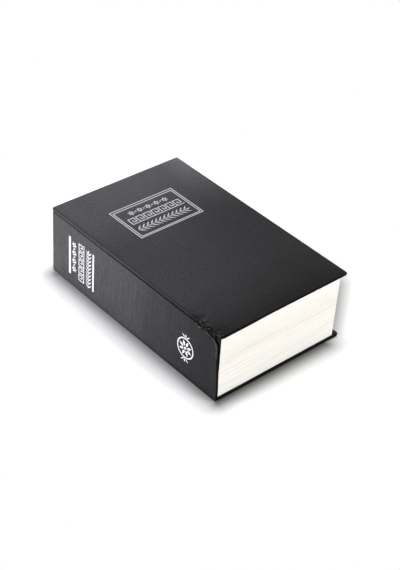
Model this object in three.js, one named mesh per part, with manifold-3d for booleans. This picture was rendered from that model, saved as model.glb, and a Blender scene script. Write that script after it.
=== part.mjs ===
// A steel cash box hidden in a book-shaped case, closed and lying on its back cover.
// Millimetres. X runs from the spine to the fore-edge, Y from the tail to the head, Z up.
// The origin is the middle of the footprint, on the surface that the book lies on.

import * as THREE from "three";
import { mergeVertices } from "three/addons/utils/BufferGeometryUtils.js";
import Module from "manifold-3d";

const wasm = await Module();
wasm.setup();

// The whole book
const bookLength = 180;
const bookWidth = 115;
const bookThickness = 55;

// Case boards, each a core with a covering turned in over its edges
const coreThickness = 1.3;
const coveringThickness = 0.35;
const paperThickness = 0.25;
const glueGap = 0.05;
const turnInWidth = 12;
const boardCornerRadius = 1.6;

// How far the covers reach past the page block
const endSquare = 1.5;
const foreSquare = 5.4;

// Flexible joints of the covering
const frontJointHeight = 1.5;
const backJointWidth = 1.2;

// Page block, a moulded frame that is open above and below and channelled from below
const coverClearance = 0.3;
const spineWallWidth = 8;
const foreRimWidth = 8;
const endRimWidth = 8.5;
const pageSkin = 2;
const ledgeSkin = 2.5;
const webThickness = 1.6;
const trayClearance = 0.3;
const lidSideClearance = 0.5;
const sideChannelCount = 4;
const endChannelCount = 3;

// Tray and lid sheets
const lidRecess = 2.4;
const lidSheet = 1;
const traySheet = 1;
const lidSeatGap = 0.3;
const flangeWidth = 3;
const trayCornerRadius = 3;
const lidCornerRadius = 2.5;
const lipDepth = 4;
const lipClearance = 1;
const lipStart = 4;

// Piano hinge between the tray and the lid
const knuckleRadius = 1.9;
const pinRadius = 0.9;
const pinClearance = 0.1;
const leafThickness = 0.8;
const leafWidth = 12;
const hingeEndMargin = 6;
const knuckleGap = 0.3;
const knuckleCount = 7;
const pinOverhang = 0.6;
const lidEdgeSetback = 1;
const swingClearance = 0.3;

// Rivets of the hinge
const rivetRadius = 1.2;
const rivetHoleClearance = 0.12;
const rivetHeadRadius = 2.2;
const rivetHeadHeight = 0.8;
const rivetTailRadius = 1.9;
const rivetTailHeight = 0.6;
const rivetsPerLeaf = 4;

// Cam lock, sized from the plug outwards
const plugRadius = 5.5;
const plugClearance = 0.1;
const plugHeadOverhang = 1.1;
const plugHeadDepth = 1.2;
const plugRecess = 0.15;
const keywayWidth = 1.6;
const keywayEndWall = 2;
const keywayDepth = 9.5;
const barrelWall = 1.9;
const barrelFlatDepth = 1;
const barrelLength = 16;
const barrelHoleClearance = 0.15;
const bezelOverhang = 2;
const bezelThickness = 1.6;
const bezelChamfer = 0.6;
const nutWall = 2.4;
const nutThickness = 3;
const nutClearance = 0.1;

// Screw in the plug's tail, with the square tang around it
const screwRadius = 1.8;
const screwClearance = 0.1;
const screwLength = 5.5;
const screwEndGap = 0.5;
const screwHeadOverhang = 1.8;
const screwHeadHeight = 1.8;
const screwSlotWidth = 0.9;
const screwSlotDepth = 0.9;
const tangWall = 0.6;
const tangClearance = 0.1;
const washerRim = 1;
const washerThickness = 0.7;

// Wafers that cross the plug, drawn in as a key holds them
const waferCount = 4;
const waferGap = 1;
const waferThickness = 0.7;
const waferWidth = 6;
const waferEndWall = 1.2;
const waferSideWall = 1.7;
const waferWindowMargin = 1.6;
const waferClearance = 0.1;
const firstWaferDepth = 3;

// Cam and the tab that it turns under
const camThickness = 1.6;
const camGap = 0.15;
const camHubOverhang = 1;
const camArmWidth = 9;
const camReach = 17;
const camTipGap = 0.8;
const strikeGap = 0.3;
const strikeThickness = 1.2;
const strikeReach = 6;
const strikeLength = 16;

// Cutting solids run this far past the faces that they open
const overrun = 1;

// Facet counts
const roundSegments = 32;
const smallSegments = 16;
const arcSegments = 5;
const weldTolerance = 1e-4;

// Levels and edges that follow from the sizes above
const boardThickness = coreThickness + 2 * coveringThickness + 2 * glueGap;
const spineX = -bookWidth / 2;
const foreEdgeX = bookWidth / 2;
const spineHeight = bookThickness - boardThickness - frontJointHeight;
const pageSpineX = spineX + boardThickness + glueGap;
const pageForeX = foreEdgeX - foreSquare;
const pageEndY = bookLength / 2 - endSquare;
const pageBottomZ = boardThickness + glueGap;
const pageTopZ = bookThickness - boardThickness - coverClearance;

const spineWallX = pageSpineX + spineWallWidth;
const recessForeX = pageForeX - foreRimWidth;
const recessEndY = pageEndY - endRimWidth;

const lidTopZ = pageTopZ - lidRecess;
const lidBottomZ = lidTopZ - lidSheet;
const flangeTopZ = lidBottomZ - lidSeatGap;
const flangeBottomZ = flangeTopZ - traySheet;
const ledgeTopZ = flangeBottomZ - glueGap;
const lidForeX = recessForeX - lidSideClearance;
const lidEndY = recessEndY - lidSideClearance;

const lidLeafTopZ = lidBottomZ - glueGap;
const pinZ = lidLeafTopZ - knuckleRadius;
const lidSwingRadius = Math.hypot(lidEdgeSetback, lidTopZ - pinZ);
const pinX = spineWallX + lidSwingRadius + swingClearance;
const lidSpineX = pinX + lidEdgeSetback;

const trayOuterSpineX = pinX - knuckleRadius + leafThickness + glueGap;
const trayOuterForeX = recessForeX - trayClearance - flangeWidth;
const trayOuterEndY = recessEndY - trayClearance - flangeWidth;
const trayInnerSpineX = trayOuterSpineX + traySheet;
const trayInnerForeX = trayOuterForeX - traySheet;
const trayInnerEndY = trayOuterEndY - traySheet;
const trayBottomZ = boardThickness + glueGap;
const hingeWallTopZ = pinZ - knuckleRadius - swingClearance;

const hingeLength = 2 * (trayInnerEndY - hingeEndMargin);
const lockX = trayInnerForeX - camTipGap - camReach;

const barrelRadius = plugRadius + plugClearance + barrelWall;
const barrelFlatWidth = 2 * (barrelRadius - barrelFlatDepth);
const bezelRadius = barrelRadius + bezelOverhang;
const nutAcrossFlats = 2 * (barrelRadius + nutClearance + nutWall);
const plugHeadRadius = plugRadius + plugHeadOverhang;
const keywayHeight = 2 * (plugRadius - keywayEndWall);
const tangWidth = 2 * (screwRadius + screwClearance + tangWall);
const screwBoreDepth = screwLength + screwEndGap;
const screwHeadRadius = screwRadius + screwHeadOverhang;
const washerRadius = screwHeadRadius + washerRim;
const waferLength = 2 * (plugRadius - waferEndWall);
const waferWindowWidth = waferWidth - 2 * waferSideWall;
const waferWindowLength = waferLength - 2 * waferWindowMargin;
const waferPitch = waferThickness + waferGap;
const camHubRadius = plugRadius + camHubOverhang;

// A closed three.js geometry as a solid that can be joined and cut
function solid(geometry) {
  const bare = geometry.index ? geometry.toNonIndexed() : geometry;
  bare.deleteAttribute("normal");
  bare.deleteAttribute("uv");
  const merged = mergeVertices(bare, weldTolerance);
  return new wasm.Manifold(
    new wasm.Mesh({
      numProp: 3,
      vertProperties: merged.attributes.position.array,
      triVerts: new Uint32Array(merged.index.array),
    }),
  );
}

function geometryOf(body) {
  const mesh = body.getMesh();
  const geometry = new THREE.BufferGeometry();
  geometry.setAttribute("position", new THREE.BufferAttribute(mesh.vertProperties, mesh.numProp));
  geometry.setIndex(new THREE.BufferAttribute(mesh.triVerts, 1));
  const faceted = geometry.toNonIndexed();
  faceted.computeVertexNormals();
  return faceted;
}

function piece(name, body, material) {
  const mesh = new THREE.Mesh(geometryOf(body), material);
  mesh.name = name;
  return mesh;
}

// A range of one size about a centre
function about(centre, size) {
  return [centre - size / 2, centre + size / 2];
}

function block(x, y, z) {
  const geometry = new THREE.BoxGeometry(x[1] - x[0], y[1] - y[0], z[1] - z[0]);
  geometry.translate((x[0] + x[1]) / 2, (y[0] + y[1]) / 2, (z[0] + z[1]) / 2);
  return solid(geometry);
}

// A plate with rounded corners in plan
function plate(x, y, z, radius) {
  const outline = new THREE.Shape();
  outline.moveTo(x[0] + radius, y[0]);
  outline.lineTo(x[1] - radius, y[0]);
  outline.absarc(x[1] - radius, y[0] + radius, radius, -Math.PI / 2, 0);
  outline.lineTo(x[1], y[1] - radius);
  outline.absarc(x[1] - radius, y[1] - radius, radius, 0, Math.PI / 2);
  outline.lineTo(x[0] + radius, y[1]);
  outline.absarc(x[0] + radius, y[1] - radius, radius, Math.PI / 2, Math.PI);
  outline.lineTo(x[0], y[0] + radius);
  outline.absarc(x[0] + radius, y[0] + radius, radius, Math.PI, (3 * Math.PI) / 2);
  return extruded(outline, z);
}

function extruded(outline, z) {
  const geometry = new THREE.ExtrudeGeometry(outline, {
    depth: z[1] - z[0],
    bevelEnabled: false,
    curveSegments: arcSegments,
  });
  geometry.translate(0, 0, z[0]);
  return solid(geometry);
}

// A disc or rod that stands along Z on the origin's axis
function rod(radius, z, segments = roundSegments) {
  const geometry = new THREE.CylinderGeometry(radius, radius, z[1] - z[0], segments);
  geometry.rotateX(Math.PI / 2);
  geometry.translate(0, 0, (z[0] + z[1]) / 2);
  return solid(geometry);
}

// A rod along Y through a point of the XZ plane
function barAlongY(radius, x, y, z, segments = smallSegments) {
  const geometry = new THREE.CylinderGeometry(radius, radius, y[1] - y[0], segments);
  geometry.translate(x, (y[0] + y[1]) / 2, z);
  return solid(geometry);
}

function joined(bodies) {
  return bodies.reduce((whole, body) => whole.add(body));
}

function cutBy(body, tools) {
  return tools.reduce((rest, tool) => rest.subtract(tool), body);
}

// Finishes
const leatherette = new THREE.MeshStandardMaterial({ color: 0x38383b, roughness: 0.5, metalness: 0 });
const greyboard = new THREE.MeshStandardMaterial({ color: 0x8c8378, roughness: 0.95, metalness: 0 });
const endpaper = new THREE.MeshStandardMaterial({ color: 0xe4ddc9, roughness: 0.85, metalness: 0 });
const pagePlastic = new THREE.MeshStandardMaterial({ color: 0xf5f2ea, roughness: 0.7, metalness: 0 });
const boxSteel = new THREE.MeshStandardMaterial({ color: 0x26282a, roughness: 0.45, metalness: 0.2 });
const zincSteel = new THREE.MeshStandardMaterial({ color: 0xb9bcc0, roughness: 0.35, metalness: 0.9 });
const lockChrome = new THREE.MeshStandardMaterial({ color: 0xd8dadd, roughness: 0.15, metalness: 1 });
const brass = new THREE.MeshStandardMaterial({ color: 0xc2a25a, roughness: 0.35, metalness: 1 });

// One case board, centred in plan, with its outer face at z = 0 and its inner face up
function caseBoard(name, width, length, withEndpaper) {
  const group = new THREE.Group();
  const coreInset = coveringThickness + glueGap;
  const coreTop = coreInset + coreThickness;
  const pocketTop = coreTop + glueGap;
  const inside = (inset) => [about(0, width - 2 * inset), about(0, length - 2 * inset)];
  const pocketRadius = boardCornerRadius - coveringThickness;

  const covering = cutBy(plate(...inside(0), [0, boardThickness], boardCornerRadius), [
    plate(...inside(coveringThickness), [coveringThickness, pocketTop], pocketRadius),
    block(...inside(turnInWidth), [coreTop, boardThickness + overrun]),
  ]);
  group.add(piece(name + "_leatherette", covering, leatherette));

  const core = plate(...inside(coreInset), [coreInset, coreTop], boardCornerRadius - coreInset);
  group.add(piece(name + "_board", core, greyboard));

  if (withEndpaper) {
    const sheet = block(...inside(turnInWidth + glueGap), [pocketTop, pocketTop + paperThickness]);
    group.add(piece(name + "_endpaper", sheet, endpaper));
  }
  return group;
}

function bookCase() {
  const group = new THREE.Group();

  const front = caseBoard("front_cover", bookWidth, bookLength, true);
  front.rotation.y = Math.PI;
  front.position.z = bookThickness;
  group.add(front);

  const spine = caseBoard("spine", spineHeight, bookLength, false);
  spine.rotation.y = Math.PI / 2;
  spine.position.set(spineX, 0, spineHeight / 2);
  group.add(spine);

  const backSpineX = spineX + boardThickness + backJointWidth;
  const back = caseBoard("back_cover", foreEdgeX - backSpineX, bookLength, true);
  back.position.x = (foreEdgeX + backSpineX) / 2;
  group.add(back);

  // The strips of covering that bend: the cover's hinge above, the fixed fold below
  const stripY = about(0, bookLength - 2 * boardCornerRadius);
  const frontStrip = block(
    [spineX, spineX + coveringThickness],
    stripY,
    [spineHeight + glueGap, spineHeight + frontJointHeight - glueGap],
  );
  group.add(piece("front_joint", frontStrip, leatherette));
  const backStrip = block(
    [spineX + boardThickness + glueGap, backSpineX - glueGap],
    stripY,
    [0, coveringThickness],
  );
  group.add(piece("back_joint", backStrip, leatherette));
  return group;
}

// Pockets moulded up from below in one wall of the page block, with webs between them
function channels(x, y, count, top) {
  const alongY = y[1] - y[0] > x[1] - x[0];
  const [low, high] = alongY ? y : x;
  const step = (high - low + webThickness) / count;
  return Array.from({ length: count }, (_, i) => {
    const start = low + i * step;
    const run = [start, start + step - webThickness];
    const z = [pageBottomZ - overrun, top];
    return alongY ? block(x, run, z) : block(run, y, z);
  });
}

function pageBlock() {
  const wallX = [trayOuterForeX + trayClearance, pageForeX];
  const wallY = [trayOuterEndY + trayClearance, pageEndY];
  const channelTop = ledgeTopZ - ledgeSkin;
  const skinned = (range) => [range[0] + pageSkin, range[1] - pageSkin];
  const mirrored = (range) => [-range[1], -range[0]];
  const sideY = about(0, 2 * wallY[0]);
  const endX = skinned([pageSpineX, pageForeX]);

  // The lid's recess runs out over the spine-side wall and is deeper there, so that the open lid can
  // lean back with its hinged edge turned down
  const body = cutBy(block([pageSpineX, pageForeX], about(0, 2 * pageEndY), [pageBottomZ, pageTopZ]), [
    plate(
      [pageSpineX - overrun - lidCornerRadius, recessForeX],
      about(0, 2 * recessEndY),
      [ledgeTopZ, pageTopZ + overrun],
      lidCornerRadius,
    ),
    block(
      [pageSpineX - overrun, trayOuterSpineX - trayClearance],
      about(0, 2 * recessEndY),
      [pinZ, ledgeTopZ + overrun],
    ),
    block([spineWallX, wallX[0]], about(0, 2 * wallY[0]), [pageBottomZ - overrun, ledgeTopZ + overrun]),
    ...channels(skinned(wallX), sideY, sideChannelCount, channelTop),
    ...channels(skinned([pageSpineX, spineWallX]), sideY, sideChannelCount, channelTop),
    ...channels(endX, skinned(wallY), endChannelCount, channelTop),
    ...channels(endX, skinned(mirrored(wallY)), endChannelCount, channelTop),
  ]);
  return piece("page_block", body, pagePlastic);
}

// Rivet places along the hinge, at the middles of equal shares of its length
function rivetPlaces() {
  const step = hingeLength / rivetsPerLeaf;
  return Array.from({ length: rivetsPerLeaf }, (_, i) => (i + 1 / 2) * step - hingeLength / 2);
}

// A hole for a rivet, along Z or along X
function rivetHole(x, y, z, alongX) {
  const radius = rivetRadius + rivetHoleClearance;
  const length = traySheet + lidSheet + leafThickness + 2 * overrun;
  const geometry = new THREE.CylinderGeometry(radius, radius, length, smallSegments);
  if (alongX) geometry.rotateZ(Math.PI / 2);
  else geometry.rotateX(Math.PI / 2);
  geometry.translate(x, y, z);
  return solid(geometry);
}

const trayRivetZ = pinZ - knuckleRadius - (leafWidth - knuckleRadius) / 2;
const lidRivetX = pinX + knuckleRadius + (leafWidth - knuckleRadius) / 2;

function tray() {
  const outerX = [trayOuterSpineX, trayOuterForeX];
  const innerX = [trayInnerSpineX, trayInnerForeX];
  const innerY = about(0, 2 * trayInnerEndY);
  const floorZ = trayBottomZ + traySheet;
  const flange = plate(
    [trayOuterSpineX, trayOuterForeX + flangeWidth],
    about(0, 2 * (trayOuterEndY + flangeWidth)),
    [flangeBottomZ, flangeTopZ],
    lidCornerRadius,
  );
  const walls = plate(outerX, about(0, 2 * trayOuterEndY), [trayBottomZ, flangeTopZ], trayCornerRadius);
  const body = cutBy(walls.add(flange), [
    plate(innerX, innerY, [floorZ, flangeTopZ + overrun], trayCornerRadius - traySheet),
    block(
      [trayOuterSpineX - overrun, trayInnerSpineX + overrun],
      about(0, hingeLength + 2 * knuckleGap + 2 * pinOverhang),
      [hingeWallTopZ, flangeTopZ + overrun],
    ),
    ...rivetPlaces().map((y) => rivetHole(trayOuterSpineX, y, trayRivetZ, true)),
  ]);
  return piece("box_tray", body, boxSteel);
}

function lockHole() {
  const reach = barrelRadius + barrelHoleClearance;
  const flat = barrelFlatWidth + 2 * barrelHoleClearance;
  const z = [-lipDepth, lidSheet + overrun];
  return rod(reach, z).intersect(block(about(0, flat), about(0, 2 * reach), z));
}

function lid() {
  const lipOuterX = trayInnerForeX - lipClearance;
  const lipOuterY = trayInnerEndY - lipClearance;
  const lipZ = [lidBottomZ - lipDepth, lidTopZ - lidSheet / 2];
  const lipX = [pinX + lipStart, lipOuterX];
  const placed = new THREE.Matrix4().makeTranslation(lockX, 0, lidBottomZ);
  const hole = solid(geometryOf(lockHole()).applyMatrix4(placed));
  const sheet = joined([
    plate([lidSpineX, lidForeX], about(0, 2 * lidEndY), [lidBottomZ, lidTopZ], lidCornerRadius),
    block([lipOuterX - lidSheet, lipOuterX], about(0, 2 * lipOuterY), lipZ),
    block(lipX, [lipOuterY - lidSheet, lipOuterY], lipZ),
    block(lipX, [-lipOuterY, lidSheet - lipOuterY], lipZ),
  ]);
  const body = cutBy(sheet, [
    hole,
    ...rivetPlaces().map((y) => rivetHole(lidRivetX, y, lidBottomZ, false)),
  ]);
  return piece("box_lid", body, boxSteel);
}

// Where each knuckle lies along the hinge, the tray's and the lid's by turns
function knuckleRanges() {
  const step = (hingeLength + knuckleGap) / knuckleCount;
  return Array.from({ length: knuckleCount }, (_, i) => {
    const start = i * step - hingeLength / 2;
    return [start, start + step - knuckleGap];
  });
}

function hingeLeaf(sheet, own, others, notch) {
  const grown = (y) => [y[0] - knuckleGap, y[1] + knuckleGap];
  const rings = own.map((y) => barAlongY(knuckleRadius, pinX, y, pinZ));
  const bore = barAlongY(pinRadius + pinClearance, pinX, about(0, hingeLength + 2 * overrun), pinZ);
  const notched = cutBy(sheet, others.map((y) => notch(grown(y))));
  return joined([notched, ...rings]).subtract(bore);
}

function hinge() {
  const group = new THREE.Group();
  const ranges = knuckleRanges();
  const trayKnuckles = ranges.filter((_, i) => i % 2 === 0);
  const lidKnuckles = ranges.filter((_, i) => i % 2 === 1);
  const cut = knuckleRadius + swingClearance;
  const leafY = about(0, hingeLength);

  const trayLeafX = [pinX - knuckleRadius, pinX - knuckleRadius + leafThickness];
  const traySheetLeaf = cutBy(block(trayLeafX, leafY, [pinZ - leafWidth, pinZ]),
    rivetPlaces().map((y) => rivetHole(trayLeafX[1], y, trayRivetZ, true)));
  const trayNotch = (y) =>
    block([trayLeafX[0] - overrun, trayLeafX[1] + overrun], y, [pinZ - cut, pinZ + overrun]);
  const trayLeaf = hingeLeaf(traySheetLeaf, trayKnuckles, lidKnuckles, trayNotch);
  group.add(piece("hinge_tray_leaf", trayLeaf, zincSteel));

  const lidLeafZ = [lidLeafTopZ - leafThickness, lidLeafTopZ];
  const lidSheetLeaf = cutBy(block([pinX, pinX + leafWidth], leafY, lidLeafZ),
    rivetPlaces().map((y) => rivetHole(lidRivetX, y, lidLeafZ[1], false)));
  const lidNotch = (y) =>
    block([pinX - overrun, pinX + cut], y, [lidLeafZ[0] - overrun, lidLeafZ[1] + overrun]);
  const lidLeaf = hingeLeaf(lidSheetLeaf, lidKnuckles, trayKnuckles, lidNotch);
  group.add(piece("hinge_lid_leaf", lidLeaf, zincSteel));

  const pin = barAlongY(pinRadius, pinX, about(0, hingeLength + 2 * pinOverhang), pinZ);
  group.add(piece("hinge_pin", pin, zincSteel));
  return group;
}

// A rivet whose head rests on z = grip and whose tail closes below z = 0
function rivet(name, grip) {
  const outline = new THREE.Path();
  const headBase = grip + glueGap;
  outline.moveTo(0, -glueGap - rivetTailHeight);
  outline.lineTo(rivetTailRadius, -glueGap - rivetTailHeight);
  outline.lineTo(rivetTailRadius, -glueGap);
  outline.lineTo(rivetRadius, -glueGap);
  outline.lineTo(rivetRadius, headBase);
  outline.lineTo(rivetHeadRadius, headBase);
  outline.quadraticCurveTo(rivetHeadRadius, headBase + rivetHeadHeight, 0, headBase + rivetHeadHeight);
  const geometry = new THREE.LatheGeometry(outline.getPoints(arcSegments), smallSegments);
  geometry.rotateX(Math.PI / 2);
  return piece(name, solid(geometry), zincSteel);
}

function rivets() {
  const group = new THREE.Group();
  rivetPlaces().forEach((y, i) => {
    const lidRivet = rivet("lid_rivet_" + (i + 1), lidSheet + glueGap + leafThickness);
    lidRivet.position.set(lidRivetX, y, lidLeafTopZ - leafThickness);
    group.add(lidRivet);
    const trayRivet = rivet("tray_rivet_" + (i + 1), traySheet + glueGap + leafThickness);
    trayRivet.rotation.y = Math.PI / 2;
    trayRivet.position.set(pinX - knuckleRadius, y, trayRivetZ);
    group.add(trayRivet);
  });
  return group;
}

// The lock stands on the lid's underside at z = 0, with its axis on the origin
const bezelTopZ = lidSheet + glueGap + bezelThickness;
const plugTopZ = bezelTopZ - plugRecess;
const barrelBottomZ = -barrelLength;
const camTopZ = barrelBottomZ - camGap;
const camBottomZ = camTopZ - camThickness;

function lockHousing() {
  const bezelBase = lidSheet + glueGap;
  const bezelOutline = [
    new THREE.Vector2(0, bezelBase),
    new THREE.Vector2(bezelRadius, bezelBase),
    new THREE.Vector2(bezelRadius, bezelTopZ - bezelChamfer),
    new THREE.Vector2(bezelRadius - bezelChamfer, bezelTopZ),
    new THREE.Vector2(0, bezelTopZ),
  ];
  const bezel = solid(new THREE.LatheGeometry(bezelOutline, roundSegments).rotateX(Math.PI / 2));
  const barrelZ = [barrelBottomZ, bezelBase + bezelChamfer];
  const flats = block(about(0, barrelFlatWidth), about(0, 2 * barrelRadius), barrelZ);
  const barrel = rod(barrelRadius, barrelZ).intersect(flats);
  const headSeatZ = plugTopZ - plugHeadDepth - plugClearance;
  const body = cutBy(bezel.add(barrel), [
    rod(plugRadius + plugClearance, [barrelBottomZ - overrun, bezelTopZ]),
    rod(plugHeadRadius + plugClearance, [headSeatZ, bezelTopZ + overrun]),
  ]);
  return piece("lock_housing", body, lockChrome);
}

function lockNut() {
  const nutZ = [-glueGap - nutThickness, -glueGap];
  const cornerRadius = nutAcrossFlats / 2 / Math.cos(Math.PI / 6);
  const body = rod(cornerRadius, nutZ, 6).subtract(
    rod(barrelRadius + nutClearance, [nutZ[0] - overrun, nutZ[1] + overrun]),
  );
  return piece("lock_nut", body, zincSteel);
}

const waferSlotHeight = waferThickness + 2 * waferClearance;

function waferTopZ(i) {
  return plugTopZ - firstWaferDepth - i * waferPitch;
}

function lockPlug() {
  const tangZ = [camBottomZ, barrelBottomZ + overrun];
  const blank = joined([
    rod(plugRadius, [barrelBottomZ, plugTopZ]),
    rod(plugHeadRadius, [plugTopZ - plugHeadDepth, plugTopZ]),
    block(about(0, tangWidth), about(0, tangWidth), tangZ),
  ]);
  const slots = Array.from({ length: waferCount }, (_, i) =>
    block(
      about(0, 2 * (plugRadius + overrun)),
      about(0, waferWidth + 2 * waferClearance),
      [waferTopZ(i) - waferSlotHeight, waferTopZ(i)],
    ),
  );
  const body = cutBy(blank, [
    block(about(0, keywayHeight), about(0, keywayWidth), [plugTopZ - keywayDepth, plugTopZ + overrun]),
    rod(screwRadius + screwClearance, [camBottomZ - overrun, camBottomZ + screwBoreDepth], smallSegments),
    ...slots,
  ]);
  return piece("lock_plug", body, lockChrome);
}

function lockWafer(i) {
  const z = [waferTopZ(i) - waferClearance - waferThickness, waferTopZ(i) - waferClearance];
  const body = block(about(0, waferLength), about(0, waferWidth), z).subtract(
    block(
      about(0, waferWindowLength),
      about(0, waferWindowWidth),
      [z[0] - overrun, z[1] + overrun],
    ),
  );
  return piece("lock_wafer_" + (i + 1), body, brass);
}

// A flat lever that points to the tail, along the wall, when the box is unlocked
function lockCam() {
  const half = camArmWidth / 2;
  const meet = Math.asin(half / camHubRadius);
  const outline = new THREE.Shape();
  outline.absarc(0, 0, camHubRadius, meet - Math.PI / 2, (3 * Math.PI) / 2 - meet);
  outline.absarc(0, half - camReach, half, Math.PI, 2 * Math.PI);
  outline.closePath();
  const hole = tangWidth + 2 * tangClearance;
  const holeZ = [camBottomZ - overrun, camTopZ + overrun];
  const body = extruded(outline, [camBottomZ, camTopZ]).subtract(
    block(about(0, hole), about(0, hole), holeZ),
  );
  return piece("lock_cam", body, zincSteel);
}

function camWasher() {
  const washerZ = [camBottomZ - glueGap - washerThickness, camBottomZ - glueGap];
  const body = rod(washerRadius, washerZ).subtract(
    rod(screwRadius + screwClearance, [washerZ[0] - overrun, washerZ[1] + overrun], smallSegments),
  );
  return piece("cam_washer", body, zincSteel);
}

function camScrew() {
  const headTopZ = camBottomZ - 2 * glueGap - washerThickness;
  const headZ = [headTopZ - screwHeadHeight, headTopZ];
  const body = joined([
    rod(screwHeadRadius, headZ),
    rod(screwRadius, [headZ[0] + screwHeadHeight / 2, camBottomZ + screwLength], smallSegments),
  ]).subtract(
    block(about(0, 2 * (screwHeadRadius + overrun)), about(0, screwSlotWidth), [
      headZ[0] - overrun,
      headZ[0] + screwSlotDepth,
    ]),
  );
  return piece("cam_screw", body, zincSteel);
}

function lock() {
  const group = new THREE.Group();
  group.position.set(lockX, 0, lidBottomZ);
  group.add(lockHousing(), lockNut(), lockPlug(), lockCam(), camWasher(), camScrew());
  for (let i = 0; i < waferCount; i += 1) {
    group.add(lockWafer(i));
  }
  return group;
}

// A tab on the tray's fore-edge wall, just above the cam's path
function strike() {
  const bottom = lidBottomZ + camTopZ + strikeGap;
  const body = block(
    [trayInnerForeX - strikeReach, trayInnerForeX - glueGap],
    about(0, strikeLength),
    [bottom, bottom + strikeThickness],
  );
  return piece("lock_strike", body, zincSteel);
}

const safe = new THREE.Group();
safe.add(bookCase(), pageBlock(), tray(), lid(), hinge(), rivets(), lock(), strike());

export default safe;
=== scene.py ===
"""The looks of a book safe: leatherette case, lined page block, foil ornaments and a steel box inside."""

import random
from math import cos, exp, hypot, pi, radians, sin

import bmesh
import bpy
from mathutils import Matrix, Vector, noise


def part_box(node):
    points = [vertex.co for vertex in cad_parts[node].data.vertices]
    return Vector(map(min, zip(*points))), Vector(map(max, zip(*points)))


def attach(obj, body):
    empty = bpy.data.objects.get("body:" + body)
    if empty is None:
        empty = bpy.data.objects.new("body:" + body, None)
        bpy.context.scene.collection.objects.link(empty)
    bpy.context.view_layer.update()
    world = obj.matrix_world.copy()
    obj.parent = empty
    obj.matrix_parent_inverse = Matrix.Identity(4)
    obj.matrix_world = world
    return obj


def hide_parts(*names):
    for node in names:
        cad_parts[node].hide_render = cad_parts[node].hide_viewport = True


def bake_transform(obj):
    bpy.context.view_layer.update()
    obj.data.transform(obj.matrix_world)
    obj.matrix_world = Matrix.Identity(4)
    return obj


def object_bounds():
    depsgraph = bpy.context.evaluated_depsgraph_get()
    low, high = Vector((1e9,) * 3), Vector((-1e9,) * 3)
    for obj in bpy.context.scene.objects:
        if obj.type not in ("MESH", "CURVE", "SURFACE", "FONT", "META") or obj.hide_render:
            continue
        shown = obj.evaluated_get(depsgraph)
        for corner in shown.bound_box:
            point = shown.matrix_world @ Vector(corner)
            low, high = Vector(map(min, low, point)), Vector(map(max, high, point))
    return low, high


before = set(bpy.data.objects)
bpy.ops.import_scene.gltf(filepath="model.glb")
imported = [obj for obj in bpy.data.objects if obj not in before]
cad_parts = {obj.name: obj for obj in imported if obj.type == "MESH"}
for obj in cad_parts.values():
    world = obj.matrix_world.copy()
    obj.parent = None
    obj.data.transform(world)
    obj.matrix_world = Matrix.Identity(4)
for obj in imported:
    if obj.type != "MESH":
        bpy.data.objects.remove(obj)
cad_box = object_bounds()

MM = 0.001
FRONT, CASE = "front_cover", "book_case"

# Sizes in millimetres that the skins share with the solids
COVERING = 0.35
TURN_IN = 12.0
BOARD_CORNER = 1.6


def node_box(name):
    """Lowest and highest corner of a CAD node, in millimetres."""
    return [Vector(corner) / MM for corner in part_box(name)]


front_low, front_high = node_box("front_cover_leatherette")
spine_low, spine_high = node_box("spine_leatherette")
back_low, back_high = node_box("back_cover_leatherette")
page_low, page_high = node_box("page_block")
joint_low, joint_high = node_box("front_joint")
BOARD = front_high.z - front_low.z
TOP_Z = front_high.z
SPINE_X = spine_low.x
TAIL_Y, HEAD_Y = front_low.y, front_high.y


# The camera's azimuth, elevation and roll, and its place right of, above and behind the middle in metres
CAMERA_ANGLES = (-43.438, 37.2353, 4.2742)
CAMERA_PLACE = (0.003713, -0.009948, 0.949184)
SENSOR_WIDTH = 36.0
FOCAL_LENGTH = 85.2362


def add_object(name, data):
    piece = bpy.data.objects.new(name, data)
    bpy.context.scene.collection.objects.link(piece)
    return piece


def add_camera():
    azimuth, elevation, roll = map(radians, CAMERA_ANGLES)
    back = Vector((sin(azimuth) * cos(elevation), -cos(azimuth) * cos(elevation), sin(elevation)))
    right = Vector((0, 0, 1)).cross(back).normalized()
    turn = Matrix((right, back.cross(right), back)).transposed() @ Matrix.Rotation(roll, 3, "Z")
    place = (cad_box[0] + cad_box[1]) / 2 + turn @ Vector(CAMERA_PLACE)
    data = bpy.data.cameras.new("camera")
    data.sensor_width, data.lens = SENSOR_WIDTH, FOCAL_LENGTH
    data.clip_start, data.clip_end = 0.01, 20.0
    camera = add_object("camera", data)
    camera.matrix_world = Matrix.Translation(place) @ turn.to_4x4()
    bpy.context.scene.camera = camera


add_camera()


# Shader node helpers


def rgba(colour):
    """Three values or one grey, with full opacity."""
    return (*(colour if hasattr(colour, "__len__") else (colour,) * 3), 1.0)


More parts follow.
